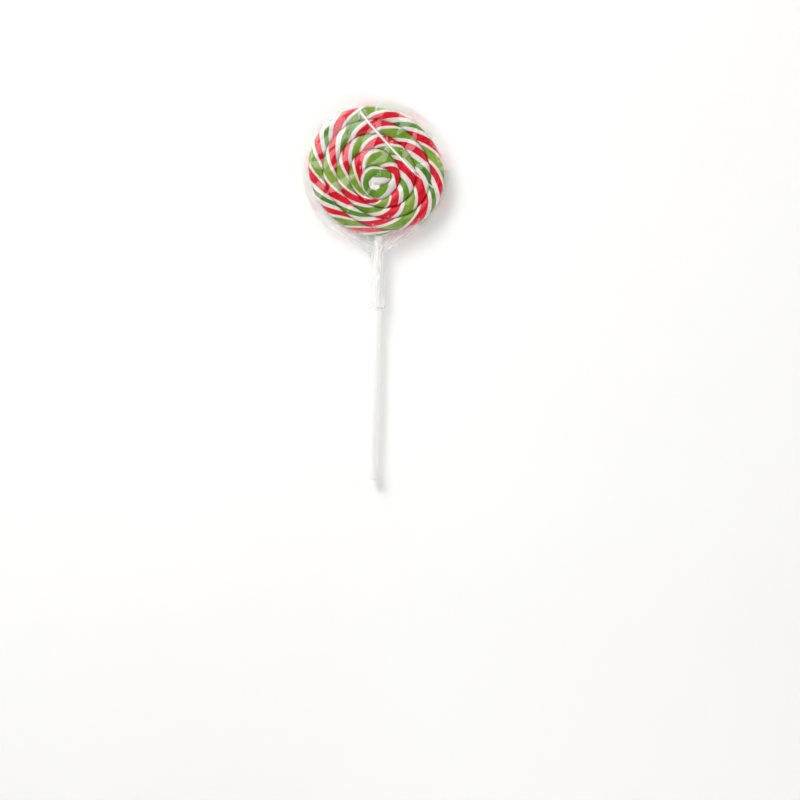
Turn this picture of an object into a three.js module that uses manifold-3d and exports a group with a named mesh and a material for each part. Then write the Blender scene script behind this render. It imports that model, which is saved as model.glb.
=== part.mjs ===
// A swirl lollipop lying on its back: a twisted sugar rope coiled into a disc,
// a round white stick seated in the disc's lower edge, and a clear film bag
// drawn tight over the disc and gathered round the stick.
// Millimetres. +Z is up, the swirl faces +Z, the stick points along -Y, and the
// origin is on the flat underside, below the middle of the disc.

import * as THREE from 'three';
import { ParametricGeometry } from 'three/addons/geometries/ParametricGeometry.js';
import { mergeGeometries, mergeVertices } from 'three/addons/utils/BufferGeometryUtils.js';
import Module from 'manifold-3d';

// ---- Driving dimensions ----------------------------------------------------

// The gap kept between pieces that touch, and the thickness of the film bag.
const GAP = 0.3;
const FILM = 0.4;
// Corners this close together are one corner.
const WELD = 1e-3;

// The rope, coiled counter-clockwise from the middle outwards. A place along it
// is counted in turns, so one turn further out lies the next strand.
const ROPE_START = -0.22;
const ROPE_END = 4.78;
const ROPE_PITCH = 7.9;
const ROPE_FIRST_REACH = 5.9;
const ROPE_TOP_HALF = 5.75;
const ROPE_BOTTOM_HALF = 5.25;
const ROPE_TOP_SQUARENESS = 2.4;
const ROPE_BOTTOM_SQUARENESS = 3.4;
// Height of the groove between two strands, above and below the middle plane.
const GROOVE_TOP = 3.75;
const GROOVE_BOTTOM = 4.05;

// The coil was wound by hand: its centre drifts as it grows, and it is oval.
const EYE = new THREE.Vector2(-1.1, -6.3);
const COIL_CENTRE = new THREE.Vector2(-0.5, -4.7);
const COIL_DRIFT = new THREE.Vector2(2.2, 1.7);
const COIL_DRIFT_EASE = new THREE.Vector2(-0.34, -0.14);
const OVAL_ACROSS = -0.7;
const OVAL_ACROSS_GROWTH = 0.4;
const OVAL_SLANT = -0.2;
const OVAL_SLANT_GROWTH = -0.54;

// The rope's blunt inner end makes the next strand bulge round it, and the first turn
// sags towards the stick.
const INNER_END_BULGE = 5.0;
const INNER_END_BULGE_AT = 0.035;
const INNER_END_BULGE_SPREAD = 0.11;
const INNER_END_LENGTH = 0.18;
const INNER_END_SAG = 2.0;
const INNER_END_SAG_AT = 0.5;
const INNER_END_SAG_SPREAD = 0.42;
// The outer end is pinched against the strand inside it. Its lengths are in turns.
const OUTER_END_LENGTH = 0.2;
const OUTER_END_ROUND = 0.1;
// On the disc's free rim the rope's side swells out past its upper edge.
const RIM_SWELL = 0.75;
const RIM_SWELL_LENGTH = 0.08;

// The stick, a little off centre and leaning a little, as it was pushed in.
const STICK_RADIUS = 2.5;
const STICK_LENGTH = 175;
const STICK_TOP_Y = -10;
const STICK_TOP_X = 2.4;
const STICK_LEAN = THREE.MathUtils.degToRad(1.25);
const STICK_CHAMFER = 0.25;

// The film bag: a flat pouch round the disc, a gather, and a tail on the stick.
const BAG_RADIUS = 44.6;
const BAG_SHOULDER = 36.8;
const BAG_SQUARENESS = 2.6;
// The film's slack over the swirl, and how much the rounded underside would reach below
// the table, where it is cut flat instead.
const BAG_SLACK = 0.1;
const BAG_FLAT_CUT = 0.25;
const BAG_SIDE_Y = -33;
const NECK_Y = -48.5;
const NECK_HALF_WIDTH = 4.5;
const NECK_HALF_HEIGHT = 4.0;
const TAIL_END_Y = -83;
const TAIL_FLARE = 0.5;
const PLEATS = 7;
const PLEAT_DEPTH = 0.35;

// Facets.
const STEPS_PER_TURN = 30;
const STEPS_ACROSS_ROPE = 10;
const STEPS_DOWN_RIM = 6;
const BAG_HEAD_ROWS = 20;
const BAG_GATHER_ROWS = 8;
const BAG_TAIL_ROWS = 5;
const BAG_STEPS_ROUND = 42;
const STICK_SIDES = 28;

// ---- Levels worked out from them -------------------------------------------

const MIDDLE_Z = FILM + GAP + ROPE_BOTTOM_HALF;
const BAG_TOP_HALF = ROPE_TOP_HALF + GAP + FILM + BAG_SLACK;
const BAG_BOTTOM_HALF = MIDDLE_Z + BAG_FLAT_CUT;

// ---- The rope --------------------------------------------------------------

const ease = (x) => THREE.MathUtils.smoothstep(x, 0, 1);

// A rounded end: 0 at the tip, rising steeply and levelling off at 1.
const bluntEnd = (x) => Math.sqrt(1 - (1 - THREE.MathUtils.clamp(x, 0, 1)) ** 2);

// The groove outside the strand, seen from above.
function grooveAt(turn) {
  const angle = 2 * Math.PI * turn;
  const oval = (OVAL_ACROSS + OVAL_ACROSS_GROWTH * turn) * Math.cos(2 * angle)
    + (OVAL_SLANT + OVAL_SLANT_GROWTH * turn) * Math.sin(2 * angle);
  const bulge = INNER_END_BULGE
    * Math.exp(-(((turn - INNER_END_BULGE_AT) / INNER_END_BULGE_SPREAD) ** 2));
  const sag = INNER_END_SAG
    * Math.exp(-(((turn - INNER_END_SAG_AT) / INNER_END_SAG_SPREAD) ** 2));
  const radius = ROPE_FIRST_REACH + ROPE_PITCH * turn + oval + bulge;
  const point = COIL_CENTRE.clone()
    .addScaledVector(COIL_DRIFT, turn)
    .addScaledVector(COIL_DRIFT_EASE, turn * turn);
  point.x += radius * Math.cos(angle);
  point.y += radius * Math.sin(angle) - sag;
  const opened = Math.sqrt(ease((turn - ROPE_START) / INNER_END_LENGTH));
  return EYE.clone().lerp(point, opened);
}

// The strand's inner edge is the groove one turn back, or the eye of the swirl.
function innerEdge(turn) {
  return turn - 1 <= ROPE_START ? EYE.clone() : grooveAt(turn - 1);
}

// How far the rope's side swells past its upper edge: only on the free rim.
function rimSwell(turn) {
  return RIM_SWELL * ease((turn - ROPE_END + 1) / RIM_SWELL_LENGTH)
    * bluntEnd((ROPE_END - turn) / OUTER_END_ROUND);
}

// Its outer edge is the groove, or the rim's upper edge on the outermost strand,
// which closes on the inner edge at the rope's outer end.
function outerEdge(turn) {
  const edge = pushedOut(grooveAt(turn), turn, -rimSwell(turn));
  return innerEdge(turn).lerp(edge, bluntEnd((ROPE_END - turn) / OUTER_END_LENGTH));
}

// Moves a point away from the middle of the coil.
function pushedOut(point, turn, distance) {
  const angle = 2 * Math.PI * turn;
  point.x += distance * Math.cos(angle);
  point.y += distance * Math.sin(angle);
  return point;
}

// The strand's section: its crown rises from the groove's level out of the eye
// and sinks back to it at the outer end, and its sides are a superellipse.
function section(turn, side) {
  const risen = ease((turn - ROPE_START) / INNER_END_LENGTH);
  const left = bluntEnd((ROPE_END - turn) / OUTER_END_ROUND);
  const crown = THREE.MathUtils.lerp(side.groove, side.half, risen * left);
  const power = 2 / side.squareness;
  const reach = Math.acos((side.groove / crown) ** (1 / power));
  return {
    reach,
    height: (bend) => crown * Math.cos(bend) ** power,
    width: (bend) => (reach > 0 ? (Math.sin(bend) / Math.sin(reach)) ** power : bend),
  };
}

const TOP = { groove: GROOVE_TOP, half: ROPE_TOP_HALF, squareness: ROPE_TOP_SQUARENESS, up: 1 };
const BOTTOM = {
  groove: GROOVE_BOTTOM, half: ROPE_BOTTOM_HALF, squareness: ROPE_BOTTOM_SQUARENESS, up: -1,
};

// One face of the coil, from groove to groove over every strand's crown.
function ropeFace(side) {
  const place = (u, v, target) => {
    const turn = THREE.MathUtils.lerp(ROPE_START, ROPE_END, u);
    const across = side.up * (1 - 2 * v);
    const arc = section(turn, side);
    const bend = Math.abs(across) * arc.reach;
    const sideways = Math.abs(across) === 1 ? across : Math.sign(across) * arc.width(bend);
    const height = Math.abs(across) === 1 ? side.groove : arc.height(bend);
    const point = innerEdge(turn).lerp(outerEdge(turn), (1 + sideways) / 2);
    target.set(point.x, point.y, MIDDLE_Z + side.up * height);
  };
  const steps = Math.round((ROPE_END - ROPE_START) * STEPS_PER_TURN);
  return new ParametricGeometry(place, steps, STEPS_ACROSS_ROPE);
}

// The free rim of the outermost strand, from its upper edge to its lower edge.
function ropeRim() {
  const place = (u, v, target) => {
    const turn = ROPE_END - u;
    const side = v < 0.5 ? TOP : BOTTOM;
    const up = Math.abs(1 - 2 * v);
    const point = pushedOut(outerEdge(turn), turn, rimSwell(turn) * (1 - up * up));
    target.set(point.x, point.y, MIDDLE_Z + side.up * side.groove * up);
  };
  return new ParametricGeometry(place, STEPS_PER_TURN, STEPS_DOWN_RIM);
}

// ---- Solids ----------------------------------------------------------------

const wasm = await Module();
wasm.setup();

// Welds a geometry's shared corners and leaves out the triangles that this closes.
function welded(geometry) {
  geometry.deleteAttribute('normal');
  geometry.deleteAttribute('uv');
  const whole = mergeVertices(geometry, WELD);
  const corners = whole.index.array;
  const kept = [];
  for (let i = 0; i < corners.length; i += 3) {
    const [a, b, c] = corners.slice(i, i + 3);
    if (a !== b && b !== c && c !== a) kept.push(a, b, c);
  }
  whole.setIndex(kept);
  return whole;
}

function toSolid(geometry) {
  return new wasm.Manifold(new wasm.Mesh({
    numProp: 3,
    vertProperties: geometry.attributes.position.array,
    triVerts: Uint32Array.from(geometry.index.array),
  }));
}

function toGeometry(solid) {
  const mesh = solid.getMesh();
  const geometry = new THREE.BufferGeometry();
  geometry.setAttribute('position', new THREE.BufferAttribute(mesh.vertProperties, 3));
  geometry.setIndex(new THREE.BufferAttribute(mesh.triVerts, 1));
  geometry.computeVertexNormals();
  return geometry;
}

// ---- The stick -------------------------------------------------------------

// A round bar from the origin along -Y, with lightly broken edges at both ends.
function roundBar(radius, length, chamfer) {
  const profile = [
    new THREE.Vector2(0, -length),
    new THREE.Vector2(radius - chamfer, -length),
    new THREE.Vector2(radius, chamfer - length),
    new THREE.Vector2(radius, -chamfer),
    new THREE.Vector2(radius - chamfer, 0),
    new THREE.Vector2(0, 0),
  ];
  return new THREE.LatheGeometry(profile, STICK_SIDES);
}

// Seats a bar in the disc: its upper end below the eye, leaning like the stick.
function seat(target, extra) {
  target.rotation.z = -STICK_LEAN;
  target.position.set(
    STICK_TOP_X + extra * Math.sin(STICK_LEAN),
    STICK_TOP_Y + extra * Math.cos(STICK_LEAN),
    MIDDLE_Z,
  );
  target.updateMatrix();
  return target;
}

// Where the stick's axis lies, at a distance along Y.
const stickX = (y) => STICK_TOP_X + (y - STICK_TOP_Y) * Math.tan(STICK_LEAN);

// ---- The film bag ----------------------------------------------------------

// Where the bag's section lies along Y, from the pouch's far pole to the tail.
function bagStation(row, radius) {
  const sideAngle = Math.acos(BAG_SIDE_Y / BAG_RADIUS);
  if (row <= BAG_HEAD_ROWS) return radius * Math.cos(sideAngle * row / BAG_HEAD_ROWS);
  const sideY = radius * Math.cos(sideAngle);
  const gathered = (row - BAG_HEAD_ROWS) / BAG_GATHER_ROWS;
  if (gathered <= 1) return THREE.MathUtils.lerp(sideY, NECK_Y, gathered);
  return THREE.MathUtils.lerp(NECK_Y, TAIL_END_Y, (gathered - 1) * BAG_GATHER_ROWS / BAG_TAIL_ROWS);
}

// One skin of the bag, set in from the outer skin by an inset.
function bagPoint(row, round, inset, target) {
  const radius = BAG_RADIUS - inset;
  const y = bagStation(row, radius);
  const sideY = bagStation(BAG_HEAD_ROWS, radius);
  const sideHalfWidth = Math.sqrt(radius * radius - sideY * sideY);
  const gathered = THREE.MathUtils.clamp((sideY - y) / (sideY - NECK_Y), 0, 1);
  const tailed = THREE.MathUtils.clamp((NECK_Y - y) / (NECK_Y - TAIL_END_Y), 0, 1);

  const angle = 2 * Math.PI * round;
  const pleat = 1 + PLEAT_DEPTH / NECK_HALF_WIDTH * ease(gathered) * Math.cos(PLEATS * angle);
  const neckHalfWidth = (NECK_HALF_WIDTH + TAIL_FLARE * tailed) * pleat - inset;
  const chord = Math.sqrt(Math.max(0, radius * radius - y * y));
  const halfWidth = row <= BAG_HEAD_ROWS
    ? chord
    : THREE.MathUtils.lerp(sideHalfWidth, neckHalfWidth, gathered);
  const up = Math.sin(angle) >= 0 ? 1 : -1;

  // The pouch is level over the disc and falls away to its edge.
  const half = (up > 0 ? BAG_TOP_HALF : BAG_BOTTOM_HALF) - inset;
  const reach = Math.hypot(chord * Math.cos(angle), y);
  const past = Math.max(0, reach - BAG_SHOULDER) / (radius - BAG_SHOULDER);
  const pouch = half * Math.max(0, 1 - past ** BAG_SQUARENESS) ** (1 / BAG_SQUARENESS);
  // The gather and the tail are round sections that shrink to the neck.
  const neckHalf = (NECK_HALF_HEIGHT + TAIL_FLARE * tailed) * pleat - inset;
  const tube = THREE.MathUtils.lerp(half, neckHalf, ease(gathered)) * Math.abs(Math.sin(angle));
  const blended = ease((sideY - y) / (sideY + radius));
  const height = THREE.MathUtils.lerp(pouch, tube, blended);

  const z = Math.max(MIDDLE_Z + up * height, inset);
  target.set(halfWidth * Math.cos(angle) + stickX(y) * ease(gathered), y, z);
}

function bagGeometry() {
  const rows = BAG_HEAD_ROWS + BAG_GATHER_ROWS + BAG_TAIL_ROWS;
  // The outer skin runs from the pole to the tail, and the inner skin back.
  const place = (u, v, target) => {
    const row = Math.round(u * (2 * rows + 1));
    const outside = row <= rows;
    bagPoint(outside ? row : 2 * rows + 1 - row, (1 - v) % 1, outside ? 0 : FILM, target);
  };
  return new ParametricGeometry(place, 2 * rows + 1, BAG_STEPS_ROUND);
}

// ---- The pieces ------------------------------------------------------------

function candyMesh() {
  const coil = toSolid(welded(mergeGeometries([
    ropeFace(TOP),
    ropeFace(BOTTOM),
    ropeRim(),
  ])));
  const socket = seat(new THREE.Mesh(roundBar(STICK_RADIUS + GAP, STICK_LENGTH, STICK_CHAMFER)), GAP);
  const hole = toSolid(welded(socket.geometry.applyMatrix4(socket.matrix)));
  const mesh = new THREE.Mesh(
    toGeometry(coil.subtract(hole)),
    new THREE.MeshStandardMaterial({ color: 0xe4dcd6, roughness: 0.22, metalness: 0 }),
  );
  mesh.name = 'candy';
  return mesh;
}

function stickMesh() {
  const mesh = new THREE.Mesh(
    roundBar(STICK_RADIUS, STICK_LENGTH, STICK_CHAMFER),
    new THREE.MeshStandardMaterial({ color: 0xf3f0ec, roughness: 0.5, metalness: 0 }),
  );
  mesh.name = 'stick';
  return seat(mesh, 0);
}

function wrapperMesh() {
  const mesh = new THREE.Mesh(
    bagGeometry(),
    new THREE.MeshStandardMaterial({
      color: 0xf4f4f4, roughness: 0.12, metalness: 0, transparent: true, opacity: 0.25,
    }),
  );
  mesh.name = 'wrapper';
  return mesh;
}

const group = new THREE.Group();
group.add(candyMesh(), stickMesh(), wrapperMesh());

export default group;
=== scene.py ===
"""The looks of a swirl lollipop: a striped sugar rope coiled into a disc, a round stick
and a clear film bag gathered round the stick.

Blender works in metres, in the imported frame: +Z is up out of the swirl, -Y runs down the
stick. Lengths below are millimetres, and MM turns them into metres. A place along the
rope is counted in turns from the middle, so one turn further out lies the next strand.
"""

import math

import bmesh
import bpy
import numpy as np
from mathutils import Matrix, Vector, noise


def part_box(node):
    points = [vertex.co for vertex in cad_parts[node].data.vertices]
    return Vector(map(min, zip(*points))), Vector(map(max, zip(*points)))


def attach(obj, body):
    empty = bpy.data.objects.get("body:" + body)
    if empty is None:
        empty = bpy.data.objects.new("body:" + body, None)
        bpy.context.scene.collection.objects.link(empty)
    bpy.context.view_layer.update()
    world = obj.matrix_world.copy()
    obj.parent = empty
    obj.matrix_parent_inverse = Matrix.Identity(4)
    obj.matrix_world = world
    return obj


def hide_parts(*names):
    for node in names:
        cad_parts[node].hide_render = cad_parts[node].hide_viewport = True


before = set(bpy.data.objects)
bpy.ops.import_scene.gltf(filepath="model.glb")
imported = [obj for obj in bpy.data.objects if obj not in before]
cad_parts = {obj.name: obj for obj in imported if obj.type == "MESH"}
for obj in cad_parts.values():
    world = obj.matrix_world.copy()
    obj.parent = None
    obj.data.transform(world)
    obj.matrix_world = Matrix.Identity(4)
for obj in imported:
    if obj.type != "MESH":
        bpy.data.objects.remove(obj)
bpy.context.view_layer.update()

MM = 0.001

# Height of the stick's axis, which is also the middle plane of the disc.
MIDDLE_Z = (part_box("stick")[0].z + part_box("stick")[1].z) / 2 / MM

# ---- Camera, floor and light -----------------------------------------------------

FRAME_WIDTH = 480.0
FRAME_MIDDLE = Vector((14.8, -137.0))
LENS = 85.0
SENSOR = 36.0
FLOOR_HALF_WIDTH = 4000.0
FLOOR_DROP = 0.02

# The room is pale up to one height and dim from another, as shares of straight up.
ROOM_PALE_TO = 0.28
ROOM_DIM_FROM = 0.68
ROOM_STRENGTH = 1.06
DISC_MIDDLE = (0.0, 0.0, MIDDLE_Z)
STICK_LOWER_HALF = (0.0, -150.0, 0.0)
# Lamps: (name, place, what it points at, width, height, radiance).
SOFTBOXES = (
    ("key_softbox", (-620, 700, 800), DISC_MIDDLE, 600, 600, 10.0),
    ("side_softbox", (900, 420, 700), DISC_MIDDLE, 200, 400, 7.6),
    ("front_softbox", (250, -950, 850), STICK_LOWER_HALF, 600, 300, 7.6),
)
OVERHEAD_PANEL = ("overhead_panel", (-300, 350, 1150), DISC_MIDDLE, 680, 540, 2.0)
SPARKS = (
    ("key_spark", (-575, 771, 821), DISC_MIDDLE, 350, 350, 11.0),
    ("side_spark", (900, 420, 700), DISC_MIDDLE, 150, 260, 8.0),
    ("front_spark", (250, -950, 850), STICK_LOWER_HALF, 400, 200, 8.0),
)
# Gloss shows each softbox this many times as wide and as high, and dimmer to match.
GLOW_SPREAD = 2.0

# ---- The rope --------------------------------------------------------------------

ROPE_START = -0.22
ROPE_END = 4.78
ROPE_PITCH = 7.9
ROPE_FIRST_REACH = 5.9
ROPE_TOP_HALF = 5.75
ROPE_BOTTOM_HALF = 5.25
ROPE_TOP_SQUARENESS = 2.4
ROPE_BOTTOM_SQUARENESS = 3.4
# Height of the groove between two strands, above and below the middle plane, and of
# the eye of the swirl, where the groove starts out shallow.
GROOVE_TOP = 3.75
GROOVE_BOTTOM = 4.05
EYE_TOP = 5.15
EYE_BOTTOM = 4.75
EYE_LENGTH = 0.2
# How soon the shallow groove at the eye counts as one with the crown.
EYE_OPENING = 3.0

EYE = Vector((-1.1, -6.3))
COIL_CENTRE = Vector((-0.5, -4.7))
COIL_DRIFT = Vector((2.2, 1.7))
COIL_DRIFT_EASE = Vector((-0.34, -0.14))
OVAL_ACROSS = -0.7
OVAL_ACROSS_GROWTH = 0.4
OVAL_SLANT = -0.2
OVAL_SLANT_GROWTH = -0.54

# The rope's blunt end pushes the next strand out, and further round there is a small
# dent: (how far, where, over what spread).
INNER_END_BULGES = ((5.0, 0.035, 0.11), (-0.9, 0.88, 0.06))
INNER_END_LENGTH = 0.18
INNER_END_SAG = 2.0
INNER_END_SAG_AT = 0.5
INNER_END_SAG_SPREAD = 0.42
OUTER_END_LENGTH = 0.2
OUTER_END_ROUND = 0.1
RIM_SWELL = 0.75
RIM_SWELL_LENGTH = 0.08

# The pattern is counted in red stripes. Round the rope lie two of them, with a narrow
# green stripe after one and a broad one after the other, and white between them all.
PATTERN_ROUND = 2.0
NARROW_GREEN_HALF = 0.11
BROAD_GREEN_HALF = 0.19
NARROW_RED_HALF = 0.145
BROAD_RED_HALF = 0.175
STRIPE_EDGE = 0.016
# Where each red stripe crosses the rope's crown, in turns. The rope was twisted by
# hand, so they aren't even. A green stripe lies midway between two red ones.
FIRST_RED_STRIPE = 3.5
RED_STRIPES = (
    1.85, 2.015, 2.265, 2.43, 2.62, 2.80, 2.94, 3.09, 3.285,
    3.44, 3.59, 3.74, 3.89, 3.98, 4.10, 4.23, 4.36, 4.445, 4.535, 4.625, 4.715, 4.88,
)
# The inner end is twisted less, and less evenly: (turn, how far the pattern has gone).
INNER_END_TWIST = (
    (-0.22, -0.22), (0.012, -0.22), (0.035, -0.15), (0.06, -0.09), (0.09, -0.055),
    (0.13, -0.027), (0.2, -0.012), (0.25, -0.009), (0.345, 0.007), (0.405, 0.012),
    (0.49, 0.0), (0.56, -0.03), (0.65, -0.08), (0.715, -0.106), (0.755, -0.104),
    (0.8, -0.07), (0.825, -0.04), (0.887, 0.083), (0.92, 0.15), (0.957, 0.25),
    (0.983, 0.335), (1.029, 0.41), (1.065, 0.52), (1.12, 0.73), (1.2, 0.97), (1.26, 1.08),
    (1.32, 1.2), (1.373, 1.41), (1.42, 1.57), (1.46, 1.76), (1.507, 1.88), (1.573, 2.06),
    (1.633, 2.18), (1.667, 2.3), (1.71, 2.5), (1.753, 2.77),
)
TWIST_EASE = 0.012
# How much of the pattern the face shows, from the crown to the groove on either side:
# (turn, share). The very tip is all white.
FACE_SHOWS = (
    (-0.22, 0.03), (0.0, 0.03), (0.025, 0.147), (0.07, 0.15), (0.13, 0.16), (0.2, 0.19),
    (0.405, 0.196), (0.49, 0.233), (0.56, 0.239), (0.65, 0.262), (0.75, 0.245),
    (0.825, 0.25), (0.887, 0.19), (1.2, 0.2), (1.4, 0.22), (1.6, 0.26), (1.8, 0.285),
    (2.1, 0.295), (2.25, 0.32), (2.4, 0.25), (2.5, 0.24), (2.6, 0.285), (2.8, 0.24),
    (2.95, 0.285),
)
RIM_TOP_SHOWS = 0.285
RIM_BOTTOM_SHOWS = 0.62
# The narrow green stripe is wider and paler in places: (turn, added half width, how pale).
NARROW_GREEN_VARIES = (
    (-0.22, 0.0, 0.35), (0.9, 0.0, 0.35), (1.1, 0.0, 0.2), (1.3, 0.03, 0.5), (1.45, 0.07, 0.9),
    (1.62, 0.07, 0.8), (1.75, 0.01, 0.2), (2.1, 0.0, 0.0), (2.27, 0.05, 0.6), (2.42, 0.05, 0.6),
    (2.6, 0.03, 0.3), (2.8, 0.03, 0.4), (2.95, 0.0, 0.0), (3.3, 0.03, 0.4), (3.45, 0.03, 0.4),
    (3.6, 0.0, 0.0), (4.3, 0.0, 0.0),
)
# How far before the first green stripe the pattern starts, in white.
INNER_END_WHITE = 0.26

STEPS_PER_TURN = 240
STEPS_ACROSS_TOP = 24
STEPS_ACROSS_BOTTOM = 14
STEPS_DOWN_RIM = 12
ROPE_WELD = 0.002
SLIVER = 0.0001
# An edge whose ends both lie this near a groove's bottom is kept sharp.
IN_GROOVE = 0.001

# Each colour of sugar: (deep, pale, streaks), as 0 to 255 on a screen.
GRASS_GREEN = ((70, 124, 20), (108, 160, 40), (44, 96, 14))
LEAF_GREEN = ((107, 147, 32), (148, 175, 64), (82, 126, 20))
RED = ((208, 0, 30), (232, 2, 44), (176, 0, 24))
WHITE = ((237, 231, 227), (222, 215, 210), (210, 203, 198))
# What the sugar is multiplied by in a groove, as painted shade.
WHITE_PAINTED_GROOVE_SHADE = (214, 196, 186)
STRIPE_PAINTED_GROOVE_SHADE = (160, 124, 106)
GROOVE_SHADE = 0.9
GROOVE_SHADE_REACH = 0.3
STRIPE_WANDER = 0.032
STRIPE_SHIVER = 0.006
# Round the eye the sugar was rolled, not drawn: how far out, and how much the streaks fade.
ROLLED_TO = 3.0
DRAWN_FROM = 8.0
ROLLED_FADE = 0.9
STREAK_MIDDLE = 0.55
SUGAR_RELIEF = 0.18

# ---- The stick -------------------------------------------------------------------

STICK_RADIUS = 2.5
STICK_LENGTH = 175.0
STICK_TOP = Vector((2.4, -10.0))
STICK_LEAN = math.radians(1.25)
STICK_SIDES = 64
STICK_CHAMFER = 0.25
STICK_CHAMFER_STEPS = 3
SOCKET_SIDES = 48
SOCKET_GAP = 0.05
# Between these places along Y the polished side goes over into the cut end.
CUT_END_Y = (-184.7, -184.3)
STICK_RELIEF = 0.05

# ---- The film bag ----------------------------------------------------------------

BAG_RADIUS = 44.6
BAG_SHOULDER = 36.8
BAG_SQUARENESS = 2.6
BAG_TOP_HALF = 6.5
BAG_SIDE_Y = -33.0
NECK_Y = -48.5
NECK_HALF_WIDTH = 3.75
NECK_HALF_HEIGHT = 3.7
TAIL_END_Y = -83.0
TAIL_FLARE = 1.0
# The tail's torn end: how uneven, how wide its tears are and how suddenly they start.
TAIL_UNEVEN = 1.6
TAIL_TEAR_WIDTH = 3.0
TAIL_TEAR_POWER = 4
# The underside is rounder than there is room for, so it is pressed flat.
BAG_PRESSED = 0.25
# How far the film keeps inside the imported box, and clear of the sugar.
FILM_INSET = 0.05
FILM_OVER_SUGAR = 0.1
# The pleats: how fine they are, how far they run before they change, how deep they are
# and how milky, in the gather and then along the tail.
PLEATS_ROUND = 3.1
PLEAT_RUN = 30.0
PLEAT_CREST = 4.5
PLEAT_DEPTHS = (0.42, 0.2)
PLEAT_DEPTH_CHANGE = 3.0
PLEAT_MILK = (0.5, 0.3)
PLEAT_MILK_POWER = 3
PLEATS_START_Y = -24.0
# Finer pleats lie between: how many times as fine, and their share.
FINE_PLEATS = 2.3
FINE_PLEATS_SHARE = 0.4

# The film is stretched into long taut facets, with ridges between them.
FACET_LENGTH = 21.0
FACET_WIDTH = 12.0
FACET_DEPTH = 0.5
FACET_REACH = 0.55
FACET_LEAN = math.radians(58.0)
FACET_SEED = 4.3
# How quickly the facets fade where the pouch grows thin.
FACET_FADE = 3.0
# How much the film falls away from the middle of the face to its shoulder.
FILM_FALL = 0.45
# Flats round the edge, where the film bends over the rim: the number of them, how far
# out they start and how steeply they fall, in degrees.
RIM_FLATS = 19
RIM_FLAT_REACH = 37.2
RIM_FLAT_REACH_SPREAD = 1.2
RIM_FLAT_WANDER = 0.5
RIM_FLAT_FALLS = (22.0, 37.0)
# The flats take uneven shares from numbers this far apart, spread by the golden ratio.
SECOND_SHARE = 3
THIRD_SHARE = 7
GOLDEN = 0.618034
# The flats at the upper left: (direction, reach, fall). The middle one faces the lamp.
GLARE_FLATS = (
    (94.0, 38.8, 37.0), (107.0, 38.9, 35.0), (119.0, 38.9, 36.0), (131.5, 37.9, 20.5),
    (144.0, 38.9, 36.0), (157.0, 38.8, 34.0), (171.0, 38.9, 37.0),
)
GLARE_DIRECTION = 132.0
GLARE_SPREAD = 47.0

# Pinched folds: (half width, how white, the points that it runs through). Their white is partly the
# milk of pinched film and partly painted highlight.
FOLDS = (
    # The long fold across the face.
    (1.15, 1.0, ((-8.9, 35.3), (-3.3, 27.7), (5.2, 18.2), (14.3, 8.2), (24.1, -2.1))),
    (0.6, 0.75, ((23.0, -1.2), (30.1, -7.0), (36.8, -11.8))),
    (1.3, 1.0, ((-9.6, 36.8), (-8.3, 34.0), (-5.4, 30.3))),
    (0.5, 0.8, ((-9.4, 35.8), (-9.6, 29.2))),
    (0.4, 0.7, ((-7.9, 34.2), (-7.0, 29.4))),
    # Film bunched up at the upper left, whitened there as painted glare.
    (1.1, 0.75, ((-32.2, 28.0), (-28.2, 30.6), (-23.6, 31.5))),
    (0.6, 0.75, ((-26.4, 30.6), (-24.9, 34.6))),
    (0.45, 0.4, ((-22.4, 32.0), (-15.2, 35.3))),
    # Short kinks, whitened as painted glints.
    (0.4, 0.8, ((-14.8, 18.0), (-12.9, 19.9), (-10.6, 20.6))),
    (0.35, 0.6, ((-16.8, 24.0), (-14.9, 26.4))),
    (0.4, 0.8, ((-6.6, -18.3), (-4.8, -16.1))),
    (0.35, 0.8, ((5.6, -30.9), (6.3, -27.7))),
    (0.35, 0.7, ((7.4, -30.7), (7.8, -27.5))),
    (0.35, 0.7, ((9.0, -30.4), (9.2, -28.0))),
    (0.25, 0.8, ((34.4, 17.4), (36.0, 14.8), (37.2, 11.4))),
    # Folds that run down to the neck.
    (0.3, 0.6, ((-23.6, -31.2), (-16.8, -36.7), (-10.4, -40.4), (-2.6, -47.0))),
    (0.25, 0.45, ((-17.0, -32.6), (-12.0, -37.6), (-6.4, -41.5), (-1.8, -46.4))),
    (0.3, 0.7, ((-8.6, -36.8), (-4.6, -39.4), (-5.2, -41.4), (-1.0, -43.8))),
    (0.25, 0.6, ((3.9, -38.6), (2.9, -44.0))),
    (0.3, 0.45, ((10.3, -37.1), (8.4, -40.2), (4.4, -45.4))),
    (0.25, 0.4, ((21.5, -35.5), (14.2, -39.6), (6.4, -45.4))),
    # Kinks over the stick's top.
    (0.35, 0.8, ((-0.2, -38.4), (1.6, -39.8), (0.4, -41.4))),
    (0.3, 0.7, ((2.4, -38.8), (3.3, -40.9))),
    (0.35, 0.8, ((-0.2, -42.4), (1.3, -43.9), (2.9, -43.2))),
)
FOLD_HEIGHT = 0.35
FOLD_TAPER = 2.5
FOLD_MARGIN = 1.2
FOLD_WELD = 0.01
# Film whose direction has at least this much of straight up in it is the upper side.
FACING_UP = 0.1

CRINKLE_FINENESS = 190.0
CRINKLE_DEPTH = 0.36
# Between these places along Y the smooth film goes over into the gathered film.
GATHERED_Y = (-46.0, -30.0)
GATHERED_HAZE = 0.28
# How white the pleat ridges and folds make the film; the folds' white is partly painted highlight.
FOLD_MILK_AND_HIGHLIGHT = 0.88
# The share of light that the film mirrors straight on, what a grazing look adds to it
# and how late.
FILM_SHINE = 0.08
FILM_GRAZING_SHINE = 0.9
FILM_GRAZING_POWER = 5.0

BAG_HEAD_ROWS = 170
BAG_GATHER_ROWS = 56
BAG_TAIL_ROWS = 50
BAG_STEPS_OVER = 150
BAG_STEPS_UNDER = 50
# 0 would space the steps evenly across the bag's width, and 1 evenly round it.
BAG_STEPS_EVENED = 0.6
BAG_WELD = 0.001


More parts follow.
